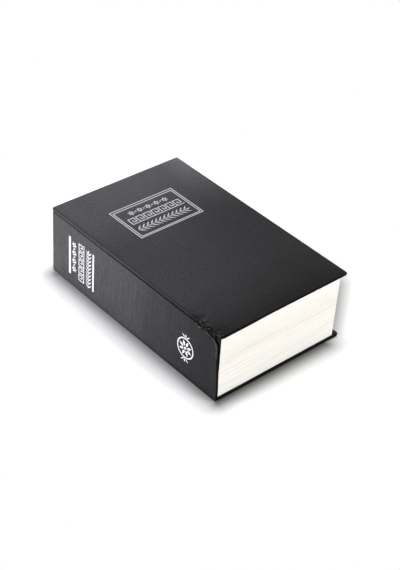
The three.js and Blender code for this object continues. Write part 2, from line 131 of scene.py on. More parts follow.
class Nodes:
    """The node tree of a new material or world, with short calls for the nodes that it uses."""

    def __init__(self, owner):
        owner.use_nodes = True
        self.owner = owner
        self.tree = owner.node_tree

    def fill(self, socket, value):
        """Sets a socket to a value, or links it to another socket."""
        if isinstance(value, bpy.types.NodeSocket):
            self.tree.links.new(value, socket)
        else:
            socket.default_value = rgba(value) if socket.type == "RGBA" else value

    def node(self, kind, inputs=None, **settings):
        """A new node with its settings set and then its inputs, by name or number, filled."""
        made = self.tree.nodes.new("ShaderNode" + kind)
        for key, value in settings.items():
            setattr(made, key, value)
        for key, value in (inputs or {}).items():
            self.fill(made.inputs[key], value)
        return made

    def finish(self, colour, roughness, normal, metallic=0.0, specular=0.5):
        """Fills the Principled BSDF and gives back the material."""
        inputs = self.tree.nodes["Principled BSDF"].inputs
        for name, value in (("Base Color", colour), ("Roughness", roughness), ("Normal", normal),
                            ("Metallic", metallic), ("Specular IOR Level", specular)):
            self.fill(inputs[name], value)
        return self.owner

    def coordinates(self, kind="Object"):
        return self.node("TexCoord").outputs[kind]

    def place(self, scale=1.0):
        """Object coordinates in millimetres times scale, which is one number or one for each axis."""
        scale = scale if hasattr(scale, "__len__") else (scale,) * 3
        inputs = {"Vector": self.coordinates(), "Scale": [s / MM for s in scale]}
        return self.node("Mapping", inputs).outputs["Vector"]

    def split(self, vector):
        """The three parts of a vector."""
        return tuple(self.node("SeparateXYZ", {0: vector}).outputs)

    def noise(self, scale, detail=2.0, roughness=0.5, distortion=0.0):
        inputs = {"Vector": self.place(scale), "Scale": 1.0, "Detail": detail, "Roughness": roughness,
                  "Distortion": distortion}
        return self.node("TexNoise", inputs).outputs["Fac"]

    def cells(self, scale):
        return self.node("TexVoronoi", {"Vector": self.place(scale), "Scale": 1.0}).outputs["Distance"]

    def hollows(self, reach, samples):
        """How open a spot is to the air within reach millimetres: 0 to 1."""
        return self.node("AmbientOcclusion", {"Distance": reach * MM}, samples=samples).outputs["AO"]

    def ramp(self, value, stops):
        """A colour ramp. Each stop is (place, colour or grey)."""
        made = self.node("ValToRGB", {"Fac": value})
        elements = made.color_ramp.elements
        while len(elements) < len(stops):
            elements.new(0.5)
        for element, (position, colour) in zip(elements, stops):
            element.position = position
            element.color = rgba(colour)
        return made.outputs["Color"]

    def span(self, value, low, high, from_low=0.0, from_high=1.0):
        """low to high as the value goes from from_low to from_high, and no further."""
        inputs = {"Value": value, "From Min": from_low, "From Max": from_high, "To Min": low, "To Max": high}
        return self.node("MapRange", inputs).outputs["Result"]

    def rise(self, value, start, end):
        return self.span(value, 0.0, 1.0, start, end)

    def fall(self, value, start, end):
        return self.span(value, 1.0, 0.0, start, end)

    def vary(self, pattern, low, high):
        """low to high over the middle levels of a noise pattern."""
        return self.span(pattern, low, high, 0.3, 0.7)

    def math(self, operation, first, second=0.0):
        return self.node("Math", {0: first, 1: second}, operation=operation).outputs[0]

    def times(self, first, *others):
        for other in others:
            first = self.math("MULTIPLY", first, other)
        return first

    def rest(self, value):
        """What is left of 1."""
        return self.math("SUBTRACT", 1.0, value)

    def vector(self, operation, first, second=(0.0, 0.0, 0.0)):
        made = self.node("VectorMath", {0: first, 1: second}, operation=operation)
        return made.outputs["Value" if operation == "LENGTH" else "Vector"]

    def mix(self, factor, first, second, blend="MIX"):
        """A mix of two colours or greys."""
        inputs = {0: factor, 6: first, 7: second}
        return self.node("Mix", inputs, data_type="RGBA", blend_type=blend).outputs[2]

    def bump(self, height, depth, below=None):
        """Bump whose height of 0 to 1 stands for depth millimetres, over another bump if one is given."""
        made = self.node("Bump", {"Height": height, "Distance": depth * MM})
        if below:
            self.fill(made.inputs["Normal"], below)
        return made.outputs["Normal"]


def material_nodes(name):
    return Nodes(bpy.data.materials.new(name))


# Finishes. Noise scales are per millimetre

PORES = 1.7

# Gloss of the covering along the book, as (share of the length from tail to head, specular level). Its rise
# towards the head is a painted sheen for how the light falls along the book
COVER_GLOSS_PAINTED_SHEEN = [(0.0, 0.09), (0.12, 0.26), (0.25, 0.33), (0.5, 0.215), (0.62, 0.2), (0.8, 0.3), (1.0, 0.37)]
SPINE_GLOSS_PAINTED_SHEEN = [(0.0, 0.01), (0.08, 0.045), (0.28, 0.13), (0.39, 0.18), (0.5, 0.36), (1.0, 0.52)]
# Painted highlight that the cover's gloss gains towards the fore-edge, and how much deep folds are spared
# the painted shade, along the book
EDGE_PAINTED_HIGHLIGHT = [(0.0, 0.55), (0.15, 0.12), (0.55, 0.12), (0.75, 0.6), (0.9, 1.2), (1.0, 1.1)]
EDGE_PAINTED_HIGHLIGHT_FROM_TO = (36.0, 53.0)
FOLDS_SPARED_PAINTED_SHADE = [(0.2, 0.1), (0.5, 0.35), (0.8, 0.65), (1.0, 0.95)]

# Painted shade on the crushed covering beside the hinge, broken by painted glints: (where it starts or is
# full, where it ends) beyond the spine's face, along the book and below the spine's top, and levels of the
# glints over a noise pattern
CRUSHED_ACROSS, CRUSHED_ALONG, CRUSHED_BELOW = (2.0, 3.5), (-67.0, -61.0), (3.2, 2.0)
PAINTED_GLINT_LEVELS = [(0.42, 0.0), (0.49, 0.12), (0.56, 0.3), (0.63, 1.0)]
# Painted shade: the glints dim to a tenth in the hollow under the flap near the tail, which fades in over
# these heights and places along the book
HOLLOW_UP, HOLLOW_ALONG = (51.2, 52.2), (-78.0, -72.0)
# Painted shade near the hinge at the tail: the gloss falls to 0.05 within these distances beyond the spine's
# face and along the book
PAINTED_DIM_ACROSS, PAINTED_DIM_ALONG = (5.0, 12.0), (-84.0, -74.0)

# Painted highlight on the rim of the spine's rounded corner: its centre (y, z), the distances that its
# levels span, the spine's depth and height that it keeps to, and where z - y shows that a place lies on the
# rounding
RIM_CENTRE = (-79.0, 41.5)
RIM_FROM_TO = (4.0, 14.0)
RIM_HIGHLIGHT_LEVELS = [(0.3, 0.0), (0.42, 0.6), (0.55, 1.0), (0.8, 1.0)]
RIM_ACROSS, RIM_UP, RIM_DIAGONAL = (0.3, 1.2), (50.0, 50.8), (122.0, 128.0)


def leather_finish():
    """Black pebbled leatherette.

    Its gloss changes along the book, a painted sheen that is brighter towards the head. It has a painted
    highlight towards the fore-edge and on the rim of the spine's rounded corner. Painted shade makes it
    darker and duller on the faces towards head and tail, in the crushed crease beside the hinge, where
    painted glints break it, and in deep folds.
    """
    s = material_nodes("leatherette_black")
    x, y, z = s.split(s.place())
    turned_x, turned_y, _ = (s.math("ABSOLUTE", part) for part in s.split(s.coordinates("Normal")))
    share = s.rise(y, TAIL_Y, HEAD_Y)
    smear = s.noise((0.05, 0.012, 0.05), 3.0, 0.55)
    pores = s.cells(PORES)
    pebbles = s.noise(0.6, 4.0, 0.7)

    shade = s.times(s.vary(s.noise(0.09, 4.0, 0.6), 0.82, 1.18), s.span(pores, 1.12, 0.8, 0.0, 0.45))
    colour = s.mix(shade, (0.0085, 0.0085, 0.0087), (0.0185, 0.0185, 0.019))
    worn = s.ramp(s.noise(0.35, 5.0, 0.7), [(0.64, 0.0), (0.78, 1.0)])
    colour = s.mix(s.times(worn, 0.1), colour, (0.09, 0.09, 0.095))

    # Painted sheen on the spine: the gloss rises from tail to head, and is halved on and above the spine's
    # top edge
    brushed = s.span(s.noise((0.05, 0.75, 0.04), 3.0, 0.6), 0.75, 1.25, 0.32, 0.68)
    below_edge = s.span(z, 1.0, 0.5, spine_high.z - 1.3, spine_high.z + 0.2)
    spine_gloss_painted_sheen = s.times(s.ramp(share, SPINE_GLOSS_PAINTED_SHEEN), brushed, below_edge)
    # Painted highlight: the cover's gloss grows towards the fore-edge, most near the head
    edge_highlight = s.times(s.rise(x, *EDGE_PAINTED_HIGHLIGHT_FROM_TO), s.ramp(share, EDGE_PAINTED_HIGHLIGHT))
    cover_gloss_painted_sheen = s.times(s.ramp(share, COVER_GLOSS_PAINTED_SHEEN), s.math("ADD", edge_highlight, 1.0))
    gloss = s.mix(s.rise(turned_x, 0.4, 0.7), cover_gloss_painted_sheen, spine_gloss_painted_sheen)

    # Painted shade in the crushed crease beside the hinge: near-black colour and little gloss, broken by
    # painted glints that are lighter and glossier
    beyond = s.math("SUBTRACT", x, SPINE_X)
    ragged = s.math("ADD", beyond, s.vary(s.noise(0.35, 3.0), -3.0, 3.0))
    crushed = s.times(s.fall(ragged, *CRUSHED_ACROSS), s.fall(y, *CRUSHED_ALONG),
                      s.rise(z, *(spine_high.z - below for below in CRUSHED_BELOW)))
    painted_glints = s.ramp(s.noise((0.75, 0.4125, 0.75), 4.0, 0.75, 1.2), PAINTED_GLINT_LEVELS)
    painted_glints = s.times(painted_glints, s.span(s.times(s.fall(z, *HOLLOW_UP), s.fall(y, *HOLLOW_ALONG)), 1.0, 0.1))
    colour = s.mix(crushed, colour, s.mix(painted_glints, 0.0012, (0.095, 0.093, 0.09)))
    gloss = s.mix(crushed, gloss, s.mix(painted_glints, 0.015, 0.16))
    # Painted shade: the gloss falls further near the hinge at the tail
    gloss = s.mix(s.times(s.fall(ragged, *PAINTED_DIM_ACROSS), s.fall(y, *PAINTED_DIM_ALONG)), gloss, 0.05)

    # Painted highlight: the rim of the spine's rounded corner is lightened towards grey
    location = (0.0, -RIM_CENTRE[0], -RIM_CENTRE[1])
    from_centre = s.node("Mapping", {"Vector": s.place(), "Location": location, "Scale": (0.0, 1.0, 1.0)})
    distance = s.rise(s.vector("LENGTH", from_centre.outputs[0]), *RIM_FROM_TO)
    rim = s.times(s.ramp(distance, RIM_HIGHLIGHT_LEVELS), s.rise(s.math("SUBTRACT", z, y), *RIM_DIAGONAL),
                  s.fall(beyond, *RIM_ACROSS), s.fall(z, *RIM_UP))
    colour = s.mix(s.times(rim, s.span(pebbles, 0.5, 1.0, 0.3, 0.6)), colour, 0.14)

    # Painted shade: colour near black and little gloss in deep folds found by ambient occlusion, less in some
    # places along the book and in the crushed crease
    lit = s.math("MAXIMUM", s.ramp(share, FOLDS_SPARED_PAINTED_SHADE), s.times(crushed, 0.3))
    lit = s.math("MAXIMUM", s.rise(s.hollows(5.0, 6), 0.42, 0.85), lit)
    # Painted shade: faces towards the head and tail are darker and lose most of their gloss
    painted_end_shade = s.span(turned_y, 1.0, 0.05, 0.25, 0.8)
    colour = s.mix(s.times(s.rest(painted_end_shade), 0.75), colour, 0.004)
    patches = s.times(s.vary(smear, 0.88, 1.12), s.vary(pebbles, 0.6, 1.4))
    grain = s.bump(s.noise(6.0), 0.012, s.bump(pores, 0.05, s.bump(pebbles, 0.16)))
    gloss = s.times(gloss, painted_end_shade, lit, patches)
    return s.finish(s.mix(lit, 0.001, colour), s.vary(smear, 0.38, 0.48), grain, specular=gloss)


def foil_finish(name, dull, bright):
    """Hot-stamped silver foil that has sunk a little into the grain."""
    s = material_nodes(name)
    rub = s.noise(1.6, 4.0, 0.65)
    colour = s.ramp(rub, [(0.3, dull), (0.55, bright)])
    return s.finish(colour, s.vary(rub, 0.62, 0.45), s.bump(s.cells(PORES), 0.03), metallic=0.35)


# Page edges: plain colour over the height, a tint in bands, and how far the dark lines show over the height
PAGE_TONES = [
    (0.0, (0.93, 0.935, 0.905)), (0.15, (0.965, 0.962, 0.925)), (0.28, (0.945, 0.932, 0.893)),
    (0.5, (0.925, 0.905, 0.855)), (0.75, (0.925, 0.91, 0.858)), (0.9, (0.93, 0.925, 0.882)),
]
PAGE_TINTS = [
    (0.38, 1.0), (0.48, (1.0, 0.992, 0.98)), (0.58, (0.985, 0.95, 0.925)), (0.64, (1.0, 0.99, 0.98)),
]
PAGE_LINES_SHOW = [(0.0, 0.8), (0.12, 0.9), (0.74, 0.9), (0.84, 0.25), (1.0, 0.15)]


def page_finish():
    """Off-white moulded page edges: long fine lines, darker and lighter, over soft cream and pink bands."""
    s = material_nodes("page_edges_lined")
    lines = s.noise((0.008, 0.008, 2.9), 3.0, 0.75)
    fine = s.noise((0.05, 0.05, 3.4))
    height = s.rise(s.split(s.place())[2], page_low.z, page_high.z)
    tint = s.ramp(s.noise((0.006, 0.006, 0.8), 3.0, 0.65), PAGE_TINTS)
    colour = s.mix(1.0, s.ramp(height, PAGE_TONES), tint, "MULTIPLY")
    dark = s.times(s.ramp(lines, [(0.36, 0.9), (0.47, 0.0)]), s.ramp(height, PAGE_LINES_SHOW))
    colour = s.mix(dark, colour, (0.64, 0.61, 0.565))
    colour = s.mix(s.ramp(lines, [(0.54, 0.0), (0.64, 0.5)]), colour, (0.96, 0.955, 0.93))
    return s.finish(colour, s.span(fine, 0.62, 0.8), s.bump(fine, 0.05, s.bump(lines, 0.08)), specular=0.35)


def block_finish():
    """Off-white moulded plastic with faint flow marks and a fine matt texture."""
    s = material_nodes("page_block_plain")
    flow = s.noise((0.02, 0.02, 0.05), 3.0, 0.5, 0.8)
    matt = s.noise(1.8, 4.0, 0.6)
    colour = s.mix(s.rise(flow, 0.35, 0.65), (0.83, 0.81, 0.76), (0.88, 0.865, 0.825))
    return s.finish(colour, s.vary(matt, 0.5, 0.68), s.bump(matt, 0.03), specular=0.4)


def paper_finish():
    """Cream laid paper: soft fibres and fine chain lines."""
    s = material_nodes("endpaper_cream")
    fibres = s.noise((1.3, 0.325, 1.3), 6.0, 0.7)
    lines = s.noise((0.02, 2.2, 0.02), 1.0)
    colour = s.mix(s.vary(fibres, 0.0, 1.0), (0.7, 0.645, 0.53), (0.8, 0.745, 0.625))
    colour = s.mix(s.span(s.noise(0.05, 3.0), 0.0, 0.4, 0.4, 0.7), colour, (0.72, 0.65, 0.52))
    return s.finish(colour, 0.88, s.bump(fibres, 0.02, s.bump(lines, 0.015)), specular=0.2)


def board_finish():
    """Grey binder's board with pressed fibres."""
    s = material_nodes("greyboard")
    fibres = s.noise((1.1, 0.33, 2.75), 6.0, 0.7)
    colour = s.ramp(fibres, [(0.3, (0.2, 0.175, 0.145)), (0.7, (0.33, 0.3, 0.25))])
    return s.finish(colour, 0.95, s.bump(fibres, 0.05))


def shade_sheet_finish():
    """A black sheet that stands for the shade in a gap: painted shade."""
    s = material_nodes("black_shade_sheet")
    fibres = s.noise(1.5, 4.0)
    return s.finish(s.ramp(fibres, [(0.3, 0.006), (0.7, 0.012)]), 0.9, s.bump(fibres, 0.02), specular=0.1)


def powder_finish():
    """Black powder coat: a fine orange-peel texture over flat steel."""
    s = material_nodes("powder_coat_black")
    speck = s.noise(5.0)
    colour = s.mix(s.rise(speck, 0.35, 0.65), (0.014, 0.0145, 0.016), (0.032, 0.033, 0.035))
    peel = s.bump(s.noise(1.4, 3.0, 0.55), 0.06)
    return s.finish(colour, s.span(s.noise(0.03, 3.0), 0.34, 0.5, 0.35, 0.65), s.bump(speck, 0.012, peel))


def zinc_finish():
    """Bright zinc plating: drawn lines, faint spangle and a slightly blue tone."""
    s = material_nodes("zinc_plate")
    drawn = s.noise((6.0, 0.12, 6.0), 4.0, 0.6)
    colour = s.ramp(s.cells(0.5), [(0.1, (0.5, 0.51, 0.53)), (0.6, (0.6, 0.605, 0.62))])
    return s.finish(colour, s.vary(drawn, 0.24, 0.42), s.bump(drawn, 0.01), metallic=1.0)


def chrome_finish():
    """Polished chrome with hairline polishing rings and faint smudges."""
    s = material_nodes("lock_chrome")
    smudge = s.noise(0.25, 3.0)
    colour = s.ramp(smudge, [(0.3, (0.66, 0.67, 0.68)), (0.7, (0.75, 0.755, 0.76))])
    rings = s.bump(s.noise((6.0, 6.0, 0.8), 4.0, 0.7), 0.003)
    return s.finish(colour, s.vary(smudge, 0.09, 0.2), rings, metallic=1.0)


def brass_finish():
    """Stamped brass with shear lines and a dull tarnish."""
    s = material_nodes("wafer_brass")
    tarnish = s.noise(0.5, 4.0, 0.6)
    colour = s.ramp(tarnish, [(0.3, (0.46, 0.31, 0.11)), (0.65, (0.66, 0.47, 0.19))])
    shear = s.bump(s.noise((2.0, 2.0, 16.0)), 0.01)
    return s.finish(colour, s.vary(tarnish, 0.42, 0.28), shear, metallic=1.0)


LEATHER = leather_finish()
FOIL = foil_finish("silver_foil_spine", (0.62, 0.62, 0.64), (0.8, 0.8, 0.815))
# Painted shade: the cover's foil is a darker copy of the spine's foil, for the top that catches less light
COVER_FOIL_SHADED = foil_finish("silver_foil_cover_shaded", (0.45, 0.45, 0.462), (0.67, 0.67, 0.682))
PAGES = page_finish()
BLOCK = block_finish()
PAPER = paper_finish()
GREYBOARD = board_finish()
SHADE_SHEET = shade_sheet_finish()
POWDER = powder_finish()
ZINC = zinc_finish()
CHROME = chrome_finish()
BRASS = brass_finish()


# Mesh helpers, in millimetres


def smooth(t):
    t = min(max(t, 0.0), 1.0)
    return t * t * (3 - 2 * t)


def spread(start, end, count):
    """Evenly spaced values from start to end, both included."""
    return [start + (end - start) * i / (count - 1) for i in range(count)]


def wave_at(*place):
    """Smooth noise of about -1 to 1."""
    return noise.noise(Vector(place))


def make(name, vertices, faces, material, body, slot=None, sharp=32.0, replaced=()):
    """A closed mesh from millimetre points, riding on a body."""
    mesh = bpy.data.meshes.new(name)
    mesh.from_pydata([Vector(v) * MM for v in vertices], [], faces)
    work = bmesh.new()
    work.from_mesh(mesh)
    bmesh.ops.recalc_face_normals(work, faces=work.faces)
    work.to_mesh(mesh)
    work.free()
    mesh.shade_smooth()
    mesh.set_sharp_from_angle(angle=radians(sharp))
    mesh.materials.append(material)
    piece = add_object(name, mesh)
    if body:
        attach(piece, body)
    if replaced:
        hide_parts(*replaced)
    return piece


def tube(first, count, rings):
    """Faces of rings with count points each, joined in a row and capped, from vertex number first."""
    last = first + (rings - 1) * count
    faces = [
        (a + i, a + (i + 1) % count, a + count + (i + 1) % count, a + count + i)
        for a in range(first, last, count) for i in range(count)
    ]
    return faces + [tuple(range(first, first + count)), tuple(range(last, last + count))[::-1]]


def loft(name, sections, *finish, **more):
    """Closed outlines with as many points each, joined in a row and capped. The rest is as for make."""
    vertices = [point for section in sections for point in section]
    return make(name, vertices, tube(0, len(sections[0]), len(sections)), *finish, **more)


def arc(centre, radius, angles):
    """Points on a circle."""
    return [(centre[0] + radius * cos(a), centre[1] + radius * sin(a)) for a in angles]


CORNERS = ((-1, -1), (1, -1), (1, 1), (-1, 1))
CORNER_STEPS = 6
SHARP_RADIUS = 0.12


def ring(half, radii, inset, stops):
    """Points around a rounded rectangle, counterclockwise from its lowest corner, with stops on each side."""
    arcs = []
    for i, (su, sv) in enumerate(CORNERS):
        radius = max(radii[i] - inset, SHARP_RADIUS)
        centre = (su * (half[0] - inset - radius), sv * (half[1] - inset - radius))
        turn = pi + i * pi / 2
        arcs.append(arc(centre, radius, spread(turn, turn + pi / 2, CORNER_STEPS + 1)))
    points = []
    for i, corner in enumerate(arcs):
        points += corner
        (u0, v0), (u1, v1) = corner[-1], arcs[(i + 1) % 4][0]
        points += [(u0 + (u1 - u0) * t, v0 + (v1 - v0) * t) for t in stops[i]]
    return points


def even(count):
    """Stops that part a side into count equal lengths."""
    return [i / count for i in range(1, count)]


def skin(stations, half, radii, stops, place, weight=None):
    """A ring for each station, as sections of a loft.

    A station is (inset, depth), or two of these, of which the second holds where weight(u, v) is 1.
    """
    sections = []
    for station in stations:
        plain, hinged = station if hasattr(station[0], "__len__") else (station, station)
        section = []
        for (u0, v0), (u1, v1) in zip(*(ring(half, radii, inset, stops) for inset, _ in (plain, hinged))):
            w = weight(u0, v0) if weight else 0.0
            depth = plain[1] + (hinged[1] - plain[1]) * w
            section.append(place(u0 + (u1 - u0) * w, v0 + (v1 - v0) * w, depth))
        sections.append(section)
    return sections


def rounding(inset, depth, radius, start, end, steps=4):
    """Stations on an arc about (inset, depth), from start to end degrees. 0 points to a larger inset."""
    return arc((inset, depth), radius, map(radians, spread(start, end, steps + 1)))


# Case boards and their covering

FACE_DROP = 0.06
FACE_INSETS = (16.0, 12.0, 9.0, 7.0, 5.5, 4.4, 3.5, 2.8, 2.2, 1.7, 1.2)
ARRIS = 0.6
POCKET = COVERING + 0.01
HINGE_POCKET = 1.75


def covering_stations(lower_edge=None):
    """From the middle of the outer face, over the edge, along the turn-in and back through the pocket.

    lower_edge takes the place of the rounding where the edge meets the turn-in.
    """
    under = BOARD - COVERING
    return [
        *((inset, FACE_DROP) for inset in FACE_INSETS),
        *rounding(ARRIS, FACE_DROP + ARRIS, ARRIS, -90, -180),
        *(lower_edge or rounding(ARRIS, BOARD - ARRIS, ARRIS, 180, 90)),
        (4.0, BOARD), (8.0, BOARD - 0.02),
        *rounding(TURN_IN - 0.15, BOARD - 0.17, 0.15, 90, -30, 3),
        (TURN_IN - 0.3, under), (1.2, under), (POCKET, under - 0.2),
        (POCKET, FACE_DROP + COVERING), (1.2, FACE_DROP + COVERING - 0.05),
    ]


# The front cover's lower edge as (inset, depth): plain, and beside the spine, where the covering hangs down
EDGE_PLAIN = [
    *((0.0, depth) for depth in (0.74, 0.82, 0.9, 0.98, 1.06, 1.14, 1.22, 1.3, 1.38, 1.5)),
    (0.05, 1.73), (0.13, 1.88), (0.25, 2.0), (0.36, 2.06), (0.46, 2.09), (0.54, 2.1), (0.7, 2.1),
]
EDGE_HINGED = [
    (0.0, 0.95), (0.0, 1.25), (0.0, 1.55), (0.0, 1.85), (0.02, 2.1), (0.08, 2.34), (0.19, 2.56), (0.34, 2.77),
    (0.52, 2.97), (0.72, 3.16), (0.92, 3.32), (1.1, 3.42), (1.28, 3.36), (1.24, 3.1), (1.1, 2.8), (0.95, 2.4),
    (0.9, 2.1),
]
HINGE_STRIP = 2.2
HINGE_TAIL, HINGE_HEAD = TAIL_Y + 4.2, 91.8
HINGE_FADE = 1.6
CRUMPLE_START, CRUMPLE_LENGTH = -58.0, 8.0
# What hangs down is drawn in to the spine's face by this share below this depth, from this place onwards
LEVEL_SHARE, LEVEL_DEPTH, LEVEL_START, LEVEL_LENGTH = 0.55, 2.2, -15.0, 75.0


def crumple(y):
    """How much the covering gives way in the crease: 0 over most of the length, 1 at the tail."""
    return smooth((CRUMPLE_START - y) / CRUMPLE_LENGTH)


def dent(x, y):
    """How far the top of the front cover is pressed down beside the hinge near the tail."""
    edge = exp(-((x - SPINE_X) / 3.0) ** 2)
    lumps = 0.6 + 1.5 * wave_at(x * 0.4, y * 0.36, 4.0)
    patch = exp(-(hypot(x - SPINE_X - 9.0, y + 72.0) / 15.0) ** 2)
    shallow = 0.5 * patch * max(wave_at(x * 0.16, y * 0.16, 9.0) + 0.1, 0.0)
    return 1.1 * crumple(y) * edge * max(lumps, 0.0) + shallow


def crease(y, depth):
    """How far the covering is pushed in at a depth below the top: two grooves with a broken ridge between."""
    wave = wave_at(y * 0.33, depth * 0.7, 3.1)
    ripple = wave_at(y * 0.8, depth * 1.4, 8.4)
    upper = 0.9 * exp(-((depth - 1.2 - 0.6 * wave) / 0.4) ** 2)
    lower = 0.8 * exp(-((depth - 2.6 + 0.5 * wave) / 0.4) ** 2)
    return crumple(y) * max(0.15 + upper * (1 + wave) + lower * (1 - wave) + 0.9 * ripple, 0.0)


def front_covering():
    """The front cover's covering, which takes in the strip that bends over the hinge."""
    half = (front_high.x, HEAD_Y)
    length = front_high.y - front_low.y
    fine = [1 - (0.3 + i * 0.75) / length for i in range(44)]
    coarse = even(48)
    stops = (even(28), coarse, even(28), sorted([t for t in coarse if t < fine[-1] - 0.01] + fine))
    stations = covering_stations(list(zip(EDGE_PLAIN, EDGE_HINGED)))
    for i in (-3, -2):
        stations[i] = (stations[i], (HINGE_POCKET, stations[i][1]))

    def on_side(u, v):
        if v < 0.8 - half[1]:
            return 0.0
        room = v - HINGE_TAIL if v < 0 else HINGE_HEAD - v
        return smooth(room / HINGE_FADE) * smooth((HINGE_STRIP - half[0] - u) / 0.8)

    def place(x, y, w):
        z = TOP_Z - w
        if w < 0.8:
            z -= dent(x, y) * smooth((0.8 - w) / 0.4)
        if x < -half[0] + HINGE_STRIP and w > 0.2:
            fade = smooth((half[1] - 0.3 - abs(y)) / 1.2)
            x += crease(y, w) * fade * smooth((w - 0.2) / 0.5)
            if w > 1.0:
                x += 0.05 * fade * wave_at(y * 0.12, w, 0.5)
            if w > LEVEL_DEPTH:
                x += (SPINE_X - x) * LEVEL_SHARE * smooth((y - LEVEL_START) / LEVEL_LENGTH)
            x = max(x, SPINE_X)
        return x, y, z

    sections = skin(stations, half, (0.9, BOARD_CORNER, BOARD_CORNER, 0.5), stops, place, on_side)
    piece = loft("front_covering", sections, LEATHER, None, "leatherette",
                 replaced=("front_cover_leatherette", "front_joint"))
    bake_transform(piece)


FOLD_LENGTH, FOLD_TAPER = 9.0, 42.0
FOLD_DROP, FOLD_SAG = 1.3, 0.75
FOLD_START = SPINE_X + 0.35
FOLD_MIDDLE_Y, FOLD_REACH = TAIL_Y + 0.62, 0.5


def corner_fold():
    """The lump of folded covering that hangs from the front cover's tail edge beside the hinge."""
    sections = []
    root_z = TOP_Z - BOARD + 0.5
    for t in spread(0, 1, 49):
        x = FOLD_START + (FOLD_LENGTH + FOLD_TAPER) * t
        along = min((x - FOLD_START) / FOLD_LENGTH, 1.0)
        lump = sin(pi * min(max(along, 0.004), 0.996)) ** 0.6
        lump *= 0.75 + 0.45 * wave_at(x * 0.6, 2.0, 0)
        sag = FOLD_SAG * smooth(along * 1.5) * smooth((1 - t) * 1.3)
        low_z = root_z - 0.5 - max((FOLD_DROP - 0.45 * along) * lump, sag)
        outline = [
            (FOLD_MIDDLE_Y + FOLD_REACH * cos(a), low_z + 0.4 + 0.4 * sin(a))
            for a in map(radians, spread(180, 360, 9))
        ]
        outline += [(FOLD_MIDDLE_Y + FOLD_REACH, root_z), (FOLD_MIDDLE_Y - FOLD_REACH + 0.1, root_z)]
        sections.append([(x, y, z) for y, z in outline])
    loft("front_corner_fold", sections, LEATHER, FRONT, "leatherette")


SPINE_RADII = (BOARD_CORNER, 7.0, 0.5, BOARD_CORNER)
RUFFLE_START, RUFFLE_END = CRUMPLE_START - 2.0, -84.6


def spine_sag(y):
    """How far the spine's top edge is crushed down towards the tail."""
    sag = 1.3 * smooth((-58.0 - y) / 10.0) + 0.9 * smooth((-74.0 - y) / 10.0)
    return max(sag + 0.7 * crumple(y) * wave_at(y * 0.45, 6.0, 0.0), 0.0)


def crease_ruffle():
    """Loose covering squeezed between the spine's crushed edge and the front cover."""
    sections = []
    for y in spread(RUFFLE_START, RUFFLE_END, 64):
        room = spine_sag(y) + 0.45
        swell = smooth((RUFFLE_START - y) / 3.0) * smooth((y - RUFFLE_END + 0.2) / 1.5) * 0.85 + 0.15
        middle_z = spine_high.z - room / 2 + 0.12
        outline = []
        for a in map(radians, spread(0, 330, 12)):
            knot = 1 + 0.5 * wave_at(y * 0.75, cos(a) * 1.3, sin(a) * 1.3)
            x = SPINE_X + 1.05 + 0.85 * swell * knot * cos(a) + 0.9 * smooth((-70.0 - y) / 6.0)
            z = middle_z + (room / 2 + 0.25) * swell * knot * sin(a)
            x = min(max(x, SPINE_X + 0.05), spine_high.x - 0.02)
            outline.append((x, y, min(z, joint_high.z - 1.3)))
        sections.append(outline)
    loft("crease_ruffle", sections, LEATHER, CASE, "leatherette", sharp=50.0)


def lean(point):
    """The spine's tail edge sits further in towards its top, as on the worn book."""
    x, y, z = point
    height = smooth((z - 4.0) / (spine_high.z - 4.0)) * 0.55 + z / spine_high.z * 0.45
    near_tail = smooth((-68.0 - y) / 22.0)
    top = smooth((z - 40.0) / (spine_high.z - 40.0))
    return x, y + 3.1 * height * near_tail, z - spine_sag(y) * top


def spine_covering():
    """The spine's covering with its crushed and rounded tail corner, and the board inside it."""
    middle = (spine_high.z + spine_low.z) / 2
    half = (middle - spine_low.z, HEAD_Y)

    def place(u, v, w):
        x = SPINE_X + w
        if w < 1.0:
            x += 0.05 * abs(wave_at(v * 0.05, u * 0.11, 5.0))
            upper = exp(-((half[0] - u - 0.6) / 1.6) ** 2)
            x += 0.8 * crumple(v) * upper * max(0.4 + wave_at(v * 0.5, u * 0.8, 7.0), 0.0)
        return lean(Vector((x, v, middle + u)))

    stops = (even(14), even(60), even(14), even(120))
    sections = skin(covering_stations(), half, SPINE_RADII, stops, place)
    loft("spine_covering", sections, LEATHER, CASE, "leatherette", replaced=("spine_leatherette",))

    stations = [(3.0, 0.46), *rounding(0.7, 0.7, 0.24, -90, -180, 2), *rounding(0.7, 1.4, 0.28, 180, 90, 2),
                (3.0, 1.68)]
    sections = skin(stations, half, [max(r - 0.4, 0.3) for r in SPINE_RADII], stops, place)
    loft("spine_core", sections, GREYBOARD, CASE, "greyboard", replaced=("spine_board",))


def back_covering():
    """The back cover's covering, whose tip at the fore-edge and tail is curled up a little."""
    middle = (back_high.x + back_low.x) / 2
    half = (back_high.x - middle, HEAD_Y)

    def place(u, v, w):
        x, z = middle + u, w
        if w > BOARD - 0.3:
            z += 0.35 * exp(-hypot((x - back_high.x + 1.6) / 2.2, v - TAIL_Y - 0.9) ** 2)
        return x, v, z

    stops = (even(28), even(44)) * 2
    stations = covering_stations()
    for i in range(7):
        stations[i] = (stations[i][0], 0.0)
    sections = skin(stations, half, (BOARD_CORNER, 2.3, 2.3, BOARD_CORNER), stops, place)
    loft("back_covering", sections, LEATHER, CASE, "leatherette", replaced=("back_cover_leatherette",))


